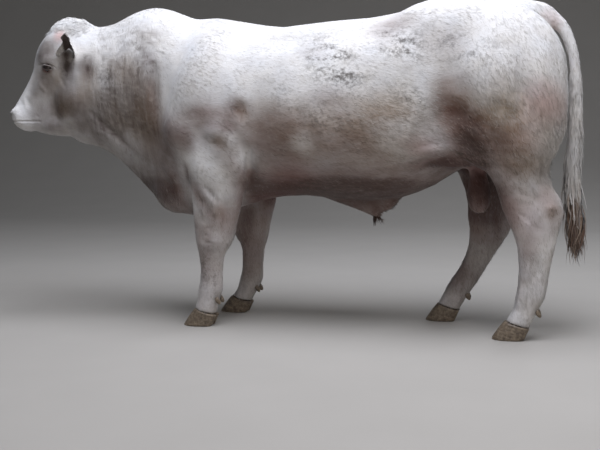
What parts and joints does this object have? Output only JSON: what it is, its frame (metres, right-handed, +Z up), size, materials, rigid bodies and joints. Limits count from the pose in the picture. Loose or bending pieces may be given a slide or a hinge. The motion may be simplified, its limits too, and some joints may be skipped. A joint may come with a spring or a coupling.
{
  "type": "charolais bull figure",
  "caption": "Life-size standing beef bull with a heavy double-muscled body, head turned a little to its left, one hind leg stepped forward and the tail hanging.",
  "frame": {"origin": "on the floor, below the middle of the animal's bounding box", "axes": "+X from head to tail along the body, +Z up, and the animal's left side faces -Y"},
  "size_m": [2.6779, 0.7098, 1.4976],
  "materials": {
    "cream_hide": "short cream-white cattle hair",
    "pink_skin": "bare pink skin, fine creases",
    "hoof_horn": "grey-brown horn, ringed, half matt",
    "tail_hair": "long coarse hair, stained brown",
    "dark_eye": "wet, glossy"
  },
  "bodies": {
    "root": {"head": "cream_hide", "neck": "cream_hide", "forequarters": "cream_hide", "barrel": "cream_hide", "hindquarters": "cream_hide", "sheath": "cream_hide", "scrotum": "pink_skin", "tail_root": "cream_hide", "tail_middle": "cream_hide", "tail_switch": "tail_hair", "foreleg_left": "cream_hide", "foreleg_right": "cream_hide", "fore_cannon_left": "cream_hide", "fore_cannon_right": "cream_hide", "fore_pastern_left": "cream_hide", "fore_pastern_right": "cream_hide", "thigh_left": "cream_hide", "thigh_right": "cream_hide", "hind_cannon_left": "cream_hide", "hind_cannon_right": "cream_hide", "hind_pastern_left": "cream_hide", "hind_pastern_right": "cream_hide", "eye_left": "dark_eye", "eye_right": "dark_eye", "ear_left": "cream_hide", "ear_right": "cream_hide", "claw_fore_left_outer": "hoof_horn", "claw_fore_left_inner": "hoof_horn", "claw_fore_right_outer": "hoof_horn", "claw_fore_right_inner": "hoof_horn", "claw_hind_left_outer": "hoof_horn", "claw_hind_left_inner": "hoof_horn", "claw_hind_right_outer": "hoof_horn", "claw_hind_right_inner": "hoof_horn", "dewclaw_fore_left_outer": "hoof_horn", "dewclaw_fore_left_inner": "hoof_horn", "dewclaw_fore_right_outer": "hoof_horn", "dewclaw_fore_right_inner": "hoof_horn", "dewclaw_hind_left_outer": "hoof_horn", "dewclaw_hind_left_inner": "hoof_horn", "dewclaw_hind_right_outer": "hoof_horn", "dewclaw_hind_right_inner": "hoof_horn"}
  },
  "joints": []
}
